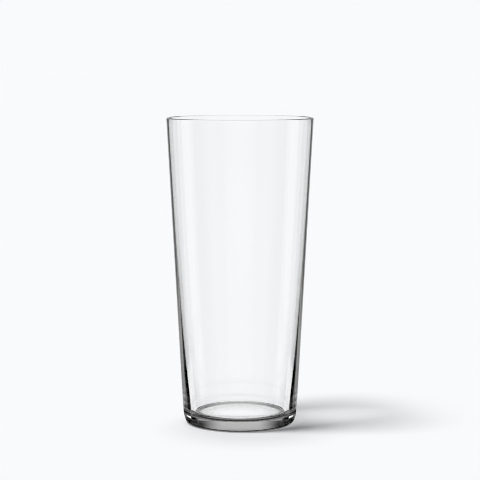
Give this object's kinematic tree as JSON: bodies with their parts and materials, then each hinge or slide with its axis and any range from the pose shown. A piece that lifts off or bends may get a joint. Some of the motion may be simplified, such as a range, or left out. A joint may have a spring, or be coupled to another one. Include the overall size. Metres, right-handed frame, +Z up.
{
  "type": "drinking glass",
  "caption": "Tall tapered tumbler of clear glass with a fine rounded lip, a wall that thickens towards a solid base, and a flat standing ring.",
  "frame": {"origin": "on the glass's axis, in the plane of the ring that it stands on", "axes": "+Z up the glass's axis, from the base to the rim. The glass is round, so X and Y have no special direction"},
  "size_m": [0.075, 0.075, 0.157],
  "materials": {
    "clear_glass": "colourless clear glass, smooth and polished, with a fire-polished lip"
  },
  "bodies": {
    "root": {"glass_body": "clear_glass"}
  },
  "joints": []
}
